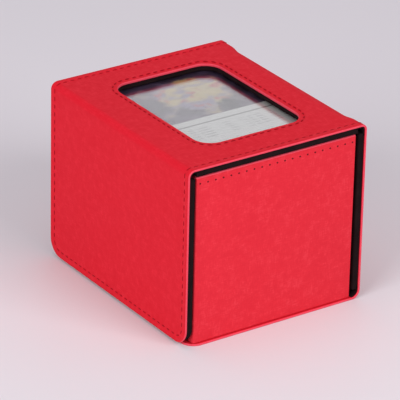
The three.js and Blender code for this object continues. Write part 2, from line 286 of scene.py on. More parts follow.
class Nodes:
    """A material under construction: add() makes a node and links what it is given."""

    def __init__(self, name):
        self.material = bpy.data.materials.new(name)
        self.material.use_nodes = True
        self.tree = self.material.node_tree
        self.shader = self.tree.nodes["Principled BSDF"]
        self.place = self.add("ShaderNodeTexCoord").outputs["Object"]

    def add(self, kind, inputs=(), **values):
        node = self.tree.nodes.new(kind)
        for key, value in values.items():
            setattr(node, key, value)
        for key, value in dict(inputs).items():
            self.feed(node.inputs[key], value)
        return node

    def feed(self, socket, value):
        if isinstance(value, bpy.types.NodeSocket):
            self.tree.links.new(value, socket)
        else:
            socket.default_value = value

    def math(self, operation, a, b=0.0, clamp=False):
        node = self.add("ShaderNodeMath", {0: a, 1: b}, operation=operation, use_clamp=clamp)
        return node.outputs[0]

    def stretched(self, scale, place=(0, 0, 0)):
        """Object coordinates stretched by scale."""
        node = self.add("ShaderNodeMapping", {"Vector": self.place, "Scale": scale,
                                               "Location": place})
        return node.outputs[0]

    def noise(self, scale, detail=2.0, roughness=0.5, stretch=None):
        vector = self.stretched(stretch) if stretch else self.place
        node = self.add("ShaderNodeTexNoise", {"Vector": vector, "Scale": scale,
                                               "Detail": detail, "Roughness": roughness})
        return node.outputs["Fac"]

    def mix(self, factor, a, b, blend="MIX"):
        node = self.add("ShaderNodeMix", data_type="RGBA", blend_type=blend)
        self.feed(node.inputs["Factor"], factor)
        self.feed(node.inputs["A"], a)
        self.feed(node.inputs["B"], b)
        return node.outputs["Result"]

    def span(self, value, low, high, to_low=0.0, to_high=1.0):
        node = self.add("ShaderNodeMapRange", {"Value": value, "From Min": low, "From Max": high,
                                               "To Min": to_low, "To Max": to_high})
        return node.outputs[0]

    def bump(self, height, distance, strength=1.0, under=None):
        node = self.add("ShaderNodeBump", {"Height": height, "Distance": distance,
                                           "Strength": strength})
        if under:
            self.feed(node.inputs["Normal"], under)
        return node.outputs[0]

    def done(self, **inputs):
        for key, value in inputs.items():
            self.feed(self.shader.inputs[key.replace("_", " ")], value)
        return self.material


def leather_material(name, colour, deep, pale, rim_highlight, linen):
    """Red artificial leather: cross-hatched linen and pebble grain, glossier rims with a painted paler
    highlight.
    """
    n = Nodes(name)
    fine, along = 2600, 300
    threads = [n.noise(1, 2, 0.6, stretch) for stretch in (
        (fine, along, along), (along, fine, along), (along, along, fine))]
    weave = n.math("MULTIPLY", n.math("ADD", n.math("ADD", threads[0], threads[1]), threads[2]),
                   1 / 3)
    pebble = n.noise(1100, 3, 0.6)
    cloud = n.noise(45, 3, 0.5)
    tone = n.math("ADD", n.span(weave, 0.42, 0.58, 0.2, 0.8), n.span(cloud, 0.3, 0.7, -0.08, 0.08),
                  clamp=True)
    base = n.mix(tone, deep, colour)
    base = n.mix(n.span(weave, 0.53, 0.61, 0, linen), base, pale)
    # The rim attribute mixes in the rim colour: a painted highlight on the rounded edges, on top of their
    # real lower roughness.
    edge = n.add("ShaderNodeAttribute", attribute_name=RIM_HIGHLIGHT).outputs["Fac"]
    base = n.mix(n.math("MULTIPLY", edge, n.span(pebble, 0.3, 0.7, 0.65, 0.95)), base, rim_highlight)
    surface = n.bump(pebble, 0.0001, 0.4, n.bump(weave, 0.0002, linen))
    gloss = n.math("SUBTRACT", n.span(weave, 0.4, 0.6, 0.6, 0.52), n.math("MULTIPLY", edge, 0.15))
    return n.done(Base_Color=base, Roughness=gloss, Normal=surface, Specular_IOR_Level=0.1)


def microfibre_material(name="black microfibre"):
    n = Nodes(name)
    nap = n.noise(2600, 3, 0.7)
    brushed = n.noise(120, 4, 0.6)
    base = n.mix(n.math("ADD", n.span(nap, 0.3, 0.7, 0, 0.6), n.span(brushed, 0.3, 0.7, 0, 0.4),
                        clamp=True),
                 (0.004, 0.0015, 0.0018, 1), (0.02, 0.009, 0.01, 1))
    return n.done(Base_Color=base, Roughness=0.95, Normal=n.bump(nap, 0.0003, 0.6),
                  Specular_IOR_Level=0.08)


def thread_material(name, dark, light):
    n = Nodes(name)
    twist = n.add("ShaderNodeTexWave", {"Vector": n.place, "Scale": 900, "Distortion": 1.5})
    base = n.mix(twist.outputs["Fac"], dark, light)
    return n.done(Base_Color=base, Roughness=0.8, Normal=n.bump(twist.outputs["Fac"], 0.0001),
                  Specular_IOR_Level=0.15)


def greyboard_material(name="greyboard"):
    n = Nodes(name)
    pulp = n.noise(700, 4, 0.7)
    fleck = n.noise(260, 2, 0.5)
    base = n.mix(pulp, (0.2, 0.18, 0.15, 1), (0.34, 0.31, 0.27, 1))
    base = n.mix(n.span(fleck, 0.6, 0.72), base, (0.12, 0.11, 0.1, 1))
    return n.done(Base_Color=base, Roughness=0.9, Normal=n.bump(pulp, 0.0001, 0.5))


def magnet_material(name="plated magnet"):
    n = Nodes(name)
    brush = n.noise(300, 2, 0.5, (1, 6, 1))
    return n.done(Base_Color=(0.62, 0.62, 0.64, 1), Metallic=1.0,
                  Roughness=n.span(brush, 0.3, 0.7, 0.22, 0.38))


def clear_sheet_material(name="clear glossy sheet"):
    """Clear plastic: a mirror whose strength follows the angle, and see-through otherwise."""
    n = Nodes(name)
    ripple = n.noise(28, 2, 0.5)
    normal = n.bump(ripple, 0.0002, 0.35)
    facing = n.add("ShaderNodeLayerWeight", {"Blend": 0.5, "Normal": normal}).outputs["Facing"]
    gloss = n.math("ADD", n.math("MULTIPLY", n.math("POWER", facing, 5.0), 0.96), 0.04)
    return n.done(Base_Color=(0.93, 0.93, 0.95, 1), Metallic=1.0, Roughness=0.04, Alpha=gloss,
                  Normal=normal)


def printed_card_material(name="printed card"):
    """A made-up print: soft coloured clouds over dark ground, a title strip and a text field."""
    n = Nodes(name)
    split = n.add("ShaderNodeSeparateXYZ", {"Vector": n.place})
    x, y = split.outputs["X"], split.outputs["Y"]
    cloud = n.noise(60, 4, 0.6)
    tint = n.noise(75, 3, 0.6, (1, 1.4, 1))
    glow = n.add("ShaderNodeTexGradient", {"Vector": n.stretched((38, 34, 1), ART_PLACE)},
                 gradient_type="QUADRATIC_SPHERE").outputs["Fac"]
    ground = n.mix(n.span(cloud, 0.35, 0.65), (0.012, 0.008, 0.014, 1), (0.08, 0.05, 0.1, 1))
    bright = n.mix(n.span(tint, 0.44, 0.56), (0.33, 0.26, 0.12, 1), (0.15, 0.12, 0.19, 1))
    bright = n.mix(n.span(n.noise(170, 3, 0.6), 0.56, 0.66), bright, (0.3, 0.05, 0.05, 1))
    shape = n.span(n.math("ADD", glow, n.span(cloud, 0.35, 0.65, -0.2, 0.2)), 0.12, 0.26)
    art = n.mix(shape, ground, bright)
    rows = n.math("SINE", n.math("MULTIPLY", y, 2 * math.pi / MARKS_PITCH))
    broken = n.noise(260, 2, 0.6, (1, 0.02, 1))
    marks = n.math("MULTIPLY", n.span(rows, 0.1, 0.6), n.span(broken, 0.5, 0.56))
    margin = n.math("MULTIPLY", n.math("LESS_THAN", y, MARKS_HIGH_Y),
                    n.math("GREATER_THAN", y, MARKS_LOW_Y))
    field = n.mix(n.math("MULTIPLY", n.math("MULTIPLY", marks, margin), 0.55),
                  (0.4, 0.4, 0.39, 1), (0.12, 0.11, 0.12, 1))
    rule = n.math("COMPARE", y, RULE_Y)
    rule.node.inputs[2].default_value = RULE_HALF
    field = n.mix(n.math("MULTIPLY", rule, 0.85), field, (0.05, 0.045, 0.05, 1))
    face = n.mix(n.math("GREATER_THAN", y, ART_FROM_Y), field, art)
    off_centre = n.math("ABSOLUTE", n.math("SUBTRACT", x, CARD_X))
    edge_x = n.math("GREATER_THAN", off_centre, CARD_BORDER_X)
    edge_y = n.math("GREATER_THAN", n.math("ABSOLUTE", y), CARD_BORDER_Y)
    face = n.mix(n.math("MAXIMUM", edge_x, edge_y), face, (0.05, 0.045, 0.05, 1))
    return n.done(Base_Color=face, Roughness=0.35, Normal=n.bump(n.noise(900, 2, 0.6), 0.00003))


# The rim colours are painted highlights on the leather's rounded edges.
LEATHER_RED = leather_material(
    "red leather", colour=(0.715, 0.013, 0.029, 1), deep=(0.66, 0.008, 0.021, 1),
    pale=(0.82, 0.03, 0.055, 1), rim_highlight=(0.8, 0.075, 0.12, 1), linen=0.25)
# The end walls get their own, paler and less saturated red: partly a stronger linen grain, partly the sheen
# of their brightly lit faces painted into the colour.
END_LEATHER = leather_material(
    "linen-grained red leather with painted sheen", colour=(0.73, 0.026, 0.043, 1), deep=(0.66, 0.018, 0.034, 1),
    pale=(0.84, 0.075, 0.105, 1), rim_highlight=(0.8, 0.08, 0.125, 1), linen=0.24)
MICROFIBRE = microfibre_material()
THREAD = thread_material("red thread", (0.3, 0.002, 0.008, 1), (0.48, 0.006, 0.016, 1))
# The end walls' stitches are near black: the shade in their stitch holes is painted into the thread's
# colour.
STITCH_HOLE_SHADE = thread_material("stitch thread with painted hole shade", (0.012, 0.0004, 0.001, 1),
                              (0.05, 0.001, 0.003, 1))
GREYBOARD = greyboard_material()
MAGNET = magnet_material()
CLEAR_SHEET = clear_sheet_material()
PRINTED_CARD = printed_card_material()


# ---- folded sheets -------------------------------------------------------------------------

def extrude_by(*steps):
    for step in steps:
        bpy.ops.mesh.extrude_region_move(TRANSFORM_OT_translate={"value": step})


def turn_edge(centre, angle=math.pi / 2):
    """Turns the selected edge round a fold: a quarter, from the base towards the flap."""
    bpy.ops.mesh.spin(steps=FOLD_STEPS, angle=angle, center=centre, axis=(0, 1, 0))


def on_plane(element, axis, value):
    return all(abs(v.co[axis] - value) < NEAR for v in element.verts)


def flat_plane(x, y, z):
    """A plane primitive between two places in x and in y."""
    bpy.ops.mesh.primitive_plane_add(size=1, location=((x[0] + x[1]) / 2, (y[0] + y[1]) / 2, z))
    obj = bpy.context.active_object
    obj.scale = (x[1] - x[0], y[1] - y[0], 1)
    bpy.ops.object.transform_apply(location=True, rotation=True, scale=True)
    return obj


def face_one_way(sheet, inwards=False):
    """Merges an open sheet and points all its faces out of the box, or all into it."""
    edit(sheet)
    bpy.ops.mesh.select_all(action="SELECT")
    bpy.ops.mesh.remove_doubles(threshold=SAME)
    bpy.ops.mesh.normals_make_consistent(inside=False)
    mesh = bmesh.from_edit_mesh(sheet.data)
    centre = Vector((0, 0, HEIGHT / 2))
    outward_area = sum(f.calc_area() * (1 if f.normal.dot(middle(f) - centre) > 0 else -1)
                       for f in mesh.faces)
    if (outward_area > 0) == inwards:
        bpy.ops.mesh.flip_normals()
    leave_edit()


def wrap_sheet():
    """The wrap as one open sheet: base, back, lid and flap, folded round the box."""
    sheet = flat_plane((BASE_X0, X1 - LOWER_FOLD_R), (-Y1, Y1), 0)
    edit(sheet)
    pick(sheet, "EDGE", lambda e: on_plane(e, 0, X1 - LOWER_FOLD_R))
    turn_edge((X1 - LOWER_FOLD_R, 0, LOWER_FOLD_R))
    extrude_by((0, 0, SPLIT_Z - LOWER_FOLD_R), (0, 0, HEIGHT - REAR_FOLD_R - SPLIT_Z))
    turn_edge((X1 - REAR_FOLD_R, 0, HEIGHT - REAR_FOLD_R))
    extrude_by((SPLIT_X - X1 + REAR_FOLD_R, 0, 0), (-2 * SPLIT_X, 0, 0),
               (SPLIT_X - X1 + FRONT_FOLD_R, 0, 0))
    turn_edge((FRONT_FOLD_R - X1, 0, HEIGHT - FRONT_FOLD_R))
    extrude_by((0, 0, SPLIT_Z - HEIGHT + FRONT_FOLD_R), (0, 0, FLAP_Z0 - SPLIT_Z))
    leave_edit()
    face_one_way(sheet)
    return sheet


def round_corners(sheet, radius, test):
    edit(sheet)
    pick(sheet, "VERT", test)
    bpy.ops.mesh.bevel(offset=radius, segments=CORNER_STEPS, affect="VERTICES")
    leave_edit()


def keep_border(obj, name):
    """Keeps the border of the selected faces as a line that is pinched in later."""
    inner = {f.index for f in bmesh.from_edit_mesh(obj.data).faces if f.select}
    bpy.ops.mesh.region_to_loop()
    obj.vertex_groups.new(name=name)
    bpy.ops.object.vertex_group_assign()
    pick(obj, "FACE", lambda f: f.index in inner)


def seam_round_outline(sheet):
    """Loops along the whole outline, so that the stitched line can be pinched in."""
    edit(sheet)
    pick(sheet, "FACE", lambda f: True)
    bpy.ops.mesh.inset(thickness=SEAM_IN - SEAM_HALF, use_boundary=True)
    bpy.ops.mesh.inset(thickness=SEAM_HALF, use_boundary=True)
    keep_border(sheet, "hem seam")
    bpy.ops.mesh.inset(thickness=SEAM_HALF, use_boundary=True)
    leave_edit()


def open_window(obj, test, low, high, radius, insets, wall, seam_after=None):
    """Cuts a round-cornered opening into a flat face: insets lead to it, wall turns it in."""
    reach = sum(insets)
    centre, half = (low + high) / 2, (high - low) / 2
    edit(obj)
    pick(obj, "FACE", test)
    bpy.ops.mesh.inset(thickness=WINDOW_START)
    mesh = bmesh.from_edit_mesh(obj.data)
    corners = [v for v in mesh.verts if v.select]
    for v in corners:
        v.co.x = centre.x + math.copysign(half.x + reach, v.co.x)
        v.co.y = centre.y + math.copysign(half.y + reach, v.co.y)
    bmesh.update_edit_mesh(obj.data)
    places = [v.co.copy() for v in corners]
    level = places[0].z
    pick(obj, "VERT", lambda v: any((v.co - p).length < SAME for p in places))
    bpy.ops.mesh.bevel(offset=radius + reach, segments=CORNER_STEPS, affect="VERTICES")
    pick(obj, "FACE", lambda f: on_plane(f, 2, level) and len(f.verts) > 3 * CORNER_STEPS
         and (middle(f) - centre).xy.length < WINDOW_START)
    for number, width in enumerate(insets):
        bpy.ops.mesh.inset(thickness=width)
        if number == seam_after:
            keep_border(obj, "window seam")
    extrude_by(wall)
    bpy.ops.mesh.delete(type="FACE")
    leave_edit()


def pinch(sheet, name):
    edit(sheet)
    bpy.ops.mesh.select_mode(type="VERT")
    sheet.vertex_groups.active_index = sheet.vertex_groups[name].index
    bpy.ops.object.vertex_group_select()
    bpy.ops.transform.shrink_fatten(value=-SEAM_DEPTH)
    leave_edit()


def sink_rear_fold(sheet):
    """Lets the upper rear fold sink in between its ends, where the turned hem is stiffer."""
    edit(sheet)
    steps = [SINK_FULL + (SINK_FROM - SINK_FULL) * n / SINK_STEPS for n in range(SINK_STEPS + 1)]
    for y in [-step for step in steps] + steps + [0]:
        pick(sheet, "FACE", lambda f: middle(f).x > SPLIT_X and middle(f).z > SPLIT_Z)
        bpy.ops.mesh.bisect(plane_co=(0, y, 0), plane_no=(0, 1, 0))
    leave_edit()
    centre = Vector((X1 - REAR_FOLD_R, 0, HEIGHT - REAR_FOLD_R))
    for v in sheet.data.vertices:
        out = Vector((v.co.x - centre.x, 0, v.co.z - centre.z))
        if v.co.x < SPLIT_X + SAME or v.co.z < SPLIT_Z + SAME or abs(v.co.y) > SINK_FROM:
            continue
        t = min((SINK_FROM - abs(v.co.y)) / (SINK_FROM - SINK_FULL), 1)
        ends = t * t * (3 - 2 * t)
        bend = max(0.0, 1 - abs(out.x - out.z) / SINK_WIDTH) ** 0.5
        v.co -= REAR_SINK * ends * bend * SINK_WAY


def split_off(sheet, name, test):
    """Separates the faces that pass into a piece of their own."""
    edit(sheet)
    pick(sheet, "FACE", test)
    before = set(bpy.data.objects)
    bpy.ops.mesh.separate(type="SELECTED")
    leave_edit()
    piece = (set(bpy.data.objects) - before).pop()
    piece.name = name
    piece.data.name = name
    return piece


def close_cuts(piece):
    """Fills the open sections that the split leaves, and points all faces outwards."""
    edit(piece)
    bpy.ops.mesh.select_all(action="SELECT")
    bpy.ops.mesh.fill_holes(sides=0)
    bpy.ops.mesh.select_all(action="SELECT")
    bpy.ops.mesh.normals_make_consistent(inside=False)
    leave_edit()


def place_in_wrap(c):
    """Which stretch of the wrap a point near it lies on."""
    if c.x > SPLIT_X and c.z > SPLIT_Z:
        return "rear fold"
    if c.x < -SPLIT_X and c.z > SPLIT_Z:
        return "front fold"
    if c.z > HEIGHT - PANEL:
        return "lid"
    if c.x < X0 + FLAP_REACH:
        return "flap"
    return "base and back"


def bend_rear(piece):
    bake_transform(piece, "tray", "lid", start=(X1, 0, FOLD_Z), end=(FOLD_X, 0, HEIGHT))


def bend_front(piece):
    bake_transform(piece, "lid", "flap", start=(-FOLD_X, 0, HEIGHT), end=(X0, 0, FOLD_Z))


# Each stretch of the wrap: how its pieces move, the name of its leather, the node it stands for.
STRETCHES = {
    "rear fold": (bend_rear, "lid_hinge_leather"),
    "front fold": (bend_front, "flap_hinge_leather"),
    "lid": (lambda piece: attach(piece, "lid"), "lid_leather"),
    "flap": (lambda piece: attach(piece, "flap"), "flap_leather"),
    "base and back": (lambda piece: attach(piece, "tray"), "wrap_leather"),
}


def mark_rims(obj, test):
    """Marks the faces of a leather piece that belong to its rounded rims, which get a painted paler
    highlight.
    """
    rim_highlight = obj.data.attributes.new(RIM_HIGHLIGHT, "FLOAT", "FACE")
    for face in obj.data.polygons:
        rim_highlight.data[face.index].value = 1.0 if test(face) else 0.0


def on_wrap_rim(face):
    n, c = face.normal, face.center
    if c.z > HEIGHT - PANEL and abs(c.x) < WINDOW_ZONE_X and abs(c.y) < WINDOW_ZONE_Y:
        return abs(n.z) < WINDOW_RIM_TILT
    base_edge = n.x < -RIM_TILT and c.z < RIM_REACH
    flap_edge = n.z < -RIM_TILT and c.x < X0 + RIM_REACH and c.z < FLAP_Z0 + FLAP_CORNER_R
    return abs(n.y) > RIM_TILT or base_edge or flap_edge


def wrap():
    """The red leather wrap, split where its panels and folds move apart."""
    sheet = wrap_sheet()
    round_corners(sheet, BASE_CORNER_R,
                  lambda v: abs(v.co.x - BASE_X0) < NEAR and v.co.z < NEAR)
    round_corners(sheet, FLAP_CORNER_R,
                  lambda v: abs(v.co.x - X0) < NEAR and abs(v.co.z - FLAP_Z0) < NEAR)
    seam_round_outline(sheet)
    open_window(sheet, lambda f: on_plane(f, 2, HEIGHT) and f.calc_area() > LID_FACE_AREA,
                WINDOW_LOW, WINDOW_HIGH, WINDOW_R,
                (SEAM_HALF, SEAM_HALF, WINDOW_SEAM - SEAM_HALF), (0, 0, -WINDOW_TURN),
                seam_after=0)
    pinch(sheet, "hem seam")
    pinch(sheet, "window seam")
    sheet.vertex_groups.clear()
    sink_rear_fold(sheet)
    thicken(sheet, LEATHER)
    modify(sheet, "BEVEL", width=LEATHER_EDGE_R, segments=4, limit_method="ANGLE",
           angle_limit=math.radians(60), use_clamp_overlap=False)
    # the rounded rims get the painted highlight
    mark_rims(sheet, on_wrap_rim)
    for stretch, (move, node) in STRETCHES.items():
        name = node.replace("hinge", "fold") + "_cover"
        if stretch == "base and back":
            piece = sheet
        else:
            piece = split_off(sheet, name, lambda f, here=stretch: place_in_wrap(middle(f)) == here)
        close_cuts(piece)
        settle(piece, name)
        smooth(piece, 30)
        finish_piece(piece, LEATHER_RED, replaces=[node])
        move(piece)


# ---- stitches ------------------------------------------------------------------------------

def stitch():
    """One stitch, along x, drawn into the leather at its two ends."""
    bpy.ops.mesh.primitive_uv_sphere_add(segments=8, ring_count=8, radius=0.5, location=(0, 0, 0),
                                         rotation=(0, math.pi / 2, 0))
    obj = bpy.context.active_object
    bpy.ops.object.transform_apply(location=False, rotation=True, scale=False)
    for v in obj.data.vertices:
        v.co.z -= STITCH_DROOP * v.co.x ** 2
        v.co.y *= 1 - STITCH_TAPER * abs(v.co.x) ** 3
    smooth(obj, 80)
    return obj


def rounded_path(low, high, r_low, r_high):
    """Closed outline of a rectangle, with one radius at low x and one at high x."""
    points = []
    corners = ((high.x - r_high, low.y + r_high, r_high, -90),
               (high.x - r_high, high.y - r_high, r_high, 0),
               (low.x + r_low, high.y - r_low, r_low, 90),
               (low.x + r_low, low.y + r_low, r_low, 180))
    for x, y, radius, start in corners:
        for n in range(13):
            angle = math.radians(start + 7.5 * n)
            points.append(Vector((x + radius * math.cos(angle), y + radius * math.sin(angle))))
    return points + points[:1]


def spaced(points, pitch):
    """Equally spaced places along a line of points, each with its direction."""
    lengths = [(b - a).length for a, b in zip(points, points[1:])]
    total = sum(lengths)
    count = round(total / pitch)
    places, leg, walked = [], 0, 0.0
    for n in range(count):
        target = (n + 0.5) * total / count
        while walked + lengths[leg] < target:
            walked += lengths[leg]
            leg += 1
        a, b = points[leg], points[leg + 1]
        places.append((a.lerp(b, (target - walked) / lengths[leg]), (b - a).normalized()))
    return places


def wrap_profile():
    """The wrap's runs from the base's free edge to the flap's: length, start, turn radius."""
    quarter = math.pi / 2
    return (
        (X1 - LOWER_FOLD_R - BASE_X0, Vector((BASE_X0, 0)), 0, 0),
        (LOWER_FOLD_R * quarter, Vector((X1 - LOWER_FOLD_R, LOWER_FOLD_R)), LOWER_FOLD_R, -90),
        (HEIGHT - REAR_FOLD_R - LOWER_FOLD_R, Vector((X1, LOWER_FOLD_R)), 0, 90),
        (REAR_FOLD_R * quarter, Vector((X1 - REAR_FOLD_R, HEIGHT - REAR_FOLD_R)), REAR_FOLD_R, 0),
        (2 * X1 - REAR_FOLD_R - FRONT_FOLD_R, Vector((X1 - REAR_FOLD_R, HEIGHT)), 0, 180),
        (FRONT_FOLD_R * quarter, Vector((X0 + FRONT_FOLD_R, HEIGHT - FRONT_FOLD_R)),
         FRONT_FOLD_R, 90),
        (HEIGHT - FRONT_FOLD_R - FLAP_Z0, Vector((X0, HEIGHT - FRONT_FOLD_R)), 0, 270),
    )


def on_wrap(s):
    """Point and direction on the wrap's outside, s along it from the base's free edge."""
    runs = wrap_profile()
    while len(runs) > 1 and s > runs[0][0]:
        s -= runs[0][0]
        runs = runs[1:]
    _, start, radius, angle = runs[0]
    if radius:
        turned = math.radians(angle) + s / radius
        out = Vector((math.cos(turned), 0, math.sin(turned)))
        point = Vector((start.x, 0, start.y)) + radius * out
        return point, Vector((-out.z, 0, out.x))
    along = Vector((math.cos(math.radians(angle)), 0, math.sin(math.radians(angle))))
    return Vector((start.x, 0, start.y)) + s * along, along


def frame_at(point, along, out):
    side = out.cross(along)
    return Matrix((
        (along.x, side.x, out.x, point.x),
        (along.y, side.y, out.y, point.y),
        (along.z, side.z, out.z, point.z),
        (0, 0, 0, 1)))


def hem_places():
    total = sum(run[0] for run in wrap_profile())
    path = rounded_path(Vector((SEAM_IN, SEAM_IN - Y1)), Vector((total - SEAM_IN, Y1 - SEAM_IN)),
                        BASE_CORNER_R - SEAM_IN, FLAP_CORNER_R - SEAM_IN)
    for place, direction in spaced(path, STITCH_PITCH):
        point, along = on_wrap(place.x)
        point = point + Vector((0, place.y, 0))
        out = Vector((along.z, 0, -along.x))
        yield frame_at(point - STITCH_SINK * out,
                       direction.x * along + Vector((0, direction.y, 0)), out)


def window_places():
    reach = Vector((WINDOW_SEAM, WINDOW_SEAM))
    path = rounded_path(WINDOW_LOW.xy - reach, WINDOW_HIGH.xy + reach,
                        WINDOW_R + WINDOW_SEAM, WINDOW_R + WINDOW_SEAM)
    for place, direction in spaced(path, STITCH_PITCH):
        yield frame_at(Vector((*place, HEIGHT - STITCH_SINK)), direction.to_3d(),
                       Vector((0, 0, 1)))


def end_places(side):
    low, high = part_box("near_end_leather" if side < 0 else "far_end_leather")
    face = low.y if side < 0 else high.y
    count = round((high.x - low.x) / END_STITCH_PITCH)
    pitch = (high.x - low.x) / count
    for n in range(count):
        point = Vector((low.x + (n + 0.5) * pitch, face - side * END_STITCH_SINK,
                        high.z - END_SEAM_DROP))
        yield frame_at(point, Vector((1, 0, 0)), Vector((0, side, 0)))


def sew(name, model, places, size, thread):
    """Copies the stitch to every place and joins the copies into one piece."""
    copies = []
    for place in places:
        obj = model.copy()
        obj.data = model.data.copy()
        obj.matrix_world = place @ Matrix.Diagonal((*size, 1))
        bpy.context.scene.collection.objects.link(obj)
        copies.append(obj)
    deselect_objects()
    for obj in copies:
        obj.select_set(True)
    bpy.context.view_layer.objects.active = copies[0]
    bpy.ops.object.join()
    piece = settle(copies[0], name)
    return finish_piece(piece, thread)


def stitching():
    model = stitch()
    groups = {stretch: [] for stretch in STRETCHES}
    for place in [*hem_places(), *window_places()]:
        groups[place_in_wrap(place.translation)].append(place)
    for stretch, places in groups.items():
        piece = sew(stretch.replace(" ", "_") + "_stitches", model, places, STITCH_SIZE,
                    THREAD)
        STRETCHES[stretch][0](piece)
    for side, name in ((-1, "near"), (1, "far")):
        # near black: painted shade of the stitch holes
        piece = sew(name + "_end_stitches", model, end_places(side), END_STITCH_SIZE,
                    STITCH_HOLE_SHADE)
        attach(piece, "tray")
    bpy.data.objects.remove(model)


# ---- black linings -------------------------------------------------------------------------

def turned(side):
    """Turns a lining built facing up, so that it faces into the box from one of its sides."""
    angle = {"lid": math.pi, "back": -math.pi / 2, "flap": math.pi / 2}[side]
    return Matrix.Rotation(angle, 4, "Y")


def finish_lining(obj, name, body=None, replaces=()):
    settle(obj, name)
    smooth(obj, 40)
    finish_piece(obj, MICROFIBRE, body, replaces)


def panel_lining(name, x, side, origin, body, node, corner=0, window=False):
    """A stiff black panel, wrapped over its board: x is its reach in its own frame."""
    sheet = flat_plane(x, (-LINING_Y, LINING_Y), 0)
    if corner:
        near = x[0] if corner < 0 else x[1]
        round_corners(sheet, abs(corner), lambda v: abs(v.co.x - near) < SAME)
    if window:
        grow = Vector((WINDOW_LINING_GROW, WINDOW_LINING_GROW, 0))
        low = Vector((-WINDOW_HIGH.x, WINDOW_LOW.y, 0)) - grow
        high = Vector((-WINDOW_LOW.x, WINDOW_HIGH.y, 0)) + grow
        open_window(sheet, lambda f: True, low, high, WINDOW_R, WINDOW_LINING_STEPS,
                    (0, 0, WINDOW_TURN - PANEL))
    edit(sheet)
    pick(sheet, "EDGE", lambda e: len(e.link_faces) == 1 and middle(e).z > -SAME)
    hidden = LEATHER + GLUE - PANEL
    extrude_by((0, 0, hidden))
    pick(sheet, "FACE", lambda f: on_plane(f, 2, hidden))
    bpy.ops.mesh.delete(type="FACE")
    bpy.ops.mesh.select_all(action="SELECT")
    bpy.ops.mesh.normals_make_consistent(inside=False)
    if max(bmesh.from_edit_mesh(sheet.data).faces, key=lambda f: f.calc_area()).normal.z < 0:
        bpy.ops.mesh.flip_normals()
    leave_edit()
    thicken(sheet, LINING)
    modify(sheet, "BEVEL", width=PANEL_EDGE_R, segments=4, limit_method="ANGLE",
           angle_limit=math.radians(50), use_clamp_overlap=True)
    sheet.matrix_world = Matrix.Translation(origin) @ turned(side)
    finish_lining(sheet, name, body, [node])


def fold_lining(name, radius, side, node):
    """The lining that follows the inside of an upper fold."""
    edge = side * (X1 - radius)
    sheet = flat_plane(sorted((side * SPLIT_X, edge)), (-LINING_Y, LINING_Y),
                       HEIGHT - LINING_DEPTH)
    edit(sheet)
    pick(sheet, "EDGE", lambda e: on_plane(e, 0, edge))
    turn_edge((edge, 0, HEIGHT - radius), -side * math.pi / 2)
    extrude_by((0, 0, SPLIT_Z - HEIGHT + radius))
    leave_edit()
    if side > 0:
        sink_rear_fold(sheet)
    face_one_way(sheet, inwards=True)
    thicken(sheet, LINING)
    finish_lining(sheet, name, replaces=[node])
    (bend_rear if side > 0 else bend_front)(sheet)


def lower_lining():
    """The lining over the base, round the lower fold and up behind the back panel's."""
    sheet = flat_plane((BASE_X0 + LINING_INSET, BASE_LINING_END), (-BASE_REACH, BASE_REACH),
                       LINING_DEPTH)
    round_corners(sheet, BASE_CORNER_R, lambda v: v.co.x < 0)
    edit(sheet)
    pick(sheet, "EDGE", lambda e: on_plane(e, 0, BASE_LINING_END))
    extrude_by((BASE_LINING_STEP, 0, 0))
    bpy.ops.transform.resize(value=(1, LINING_Y / BASE_REACH, 1))
    extrude_by((X1 - LOWER_FOLD_R - BASE_LINING_END - BASE_LINING_STEP, 0, 0))
    turn_edge((X1 - LOWER_FOLD_R, 0, LOWER_FOLD_R))
    extrude_by((0, 0, BASE_LINING_RISE))
    leave_edit()
    face_one_way(sheet, inwards=True)
    thicken(sheet, LINING)
    finish_lining(sheet, "lower_fold_lining", "tray", ["base_lining"])


def linings():
    back_low, back_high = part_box("back_lining")
    flap_low, flap_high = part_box("flap_lining")
    lid_low, lid_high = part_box("lid_lining")
    panel_lining("lid_panel_lining", (lid_low.x, lid_high.x), "lid",
                 Vector((0, 0, HEIGHT - PANEL)), "lid", "lid_lining", window=True)
    panel_lining("back_panel_lining", (back_low.z, back_high.z), "back",
                 Vector((X1 - PANEL, 0, 0)), "tray", "back_lining")
    panel_lining("flap_panel_lining", (-flap_high.z, -FLAP_Z0 - LINING_INSET), "flap",
                 Vector((X0 + PANEL, 0, 0)), "flap", "flap_lining",
                 corner=FLAP_CORNER_R - LINING_INSET)
    fold_lining("rear_fold_lining", REAR_FOLD_R, 1, "lid_hinge_lining")
    fold_lining("front_fold_lining", FRONT_FOLD_R, -1, "flap_hinge_lining")
    lower_lining()


# ---- CAD pieces ------------------------------------------------------------------------------

def soft_copy(node, name):
    """A merged copy of a CAD piece, with its flat faces whole, ready to be bevelled."""
    obj = bpy.data.objects.new(name, frame["nodes"][node].data.copy())
    bpy.context.scene.collection.objects.link(obj)
    edit(obj)
    bpy.ops.mesh.select_all(action="SELECT")
    bpy.ops.mesh.remove_doubles(threshold=SAME)
    bpy.ops.mesh.dissolve_limited(angle_limit=math.radians(1))
    leave_edit()
    return obj


